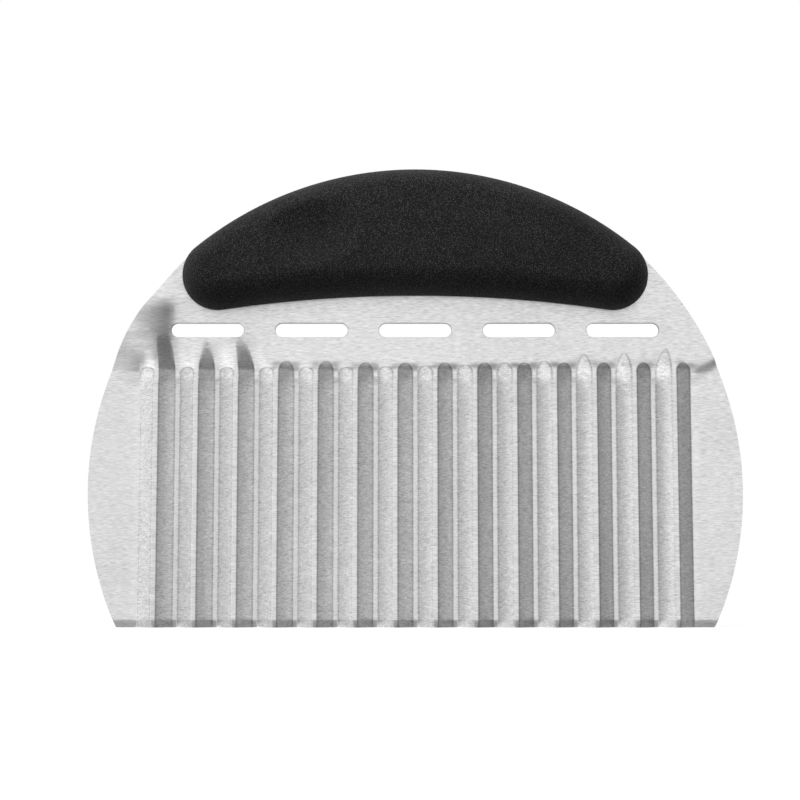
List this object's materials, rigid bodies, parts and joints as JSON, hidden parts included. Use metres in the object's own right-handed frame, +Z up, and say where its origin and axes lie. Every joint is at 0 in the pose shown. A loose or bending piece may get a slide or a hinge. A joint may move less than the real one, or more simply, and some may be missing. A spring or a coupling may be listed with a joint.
{
  "type": "soap cutter",
  "caption": "Hand cutter with a round-backed, vertically folded sheet-steel blade, a row of slots and a soft crescent grip along its top.",
  "frame": {"origin": "middle of the straight cutting edge, on the surface that the cutter stands on, half way through the thickness of the flat steel", "axes": "+X along the cutting edge to the right as the thumb-rest side is faced, +Z up from the edge to the handle, -Y towards the thumb-rest side"},
  "size_m": [0.1644, 0.022, 0.1156],
  "materials": {
    "steel": "stainless steel, brushed along the cutting edge, folds slightly polished by the press",
    "grip_rubber": "matt black soft-touch, fine grain",
    "core_plastic": "black moulded plastic, hidden",
    "rivet_metal": "plain, hidden"
  },
  "bodies": {
    "root": {"blade": "steel", "front_core": "core_plastic", "rear_core": "core_plastic", "soft_grip": "grip_rubber", "left_outer_rivet": "rivet_metal", "left_inner_rivet": "rivet_metal", "right_inner_rivet": "rivet_metal", "right_outer_rivet": "rivet_metal"}
  },
  "joints": []
}
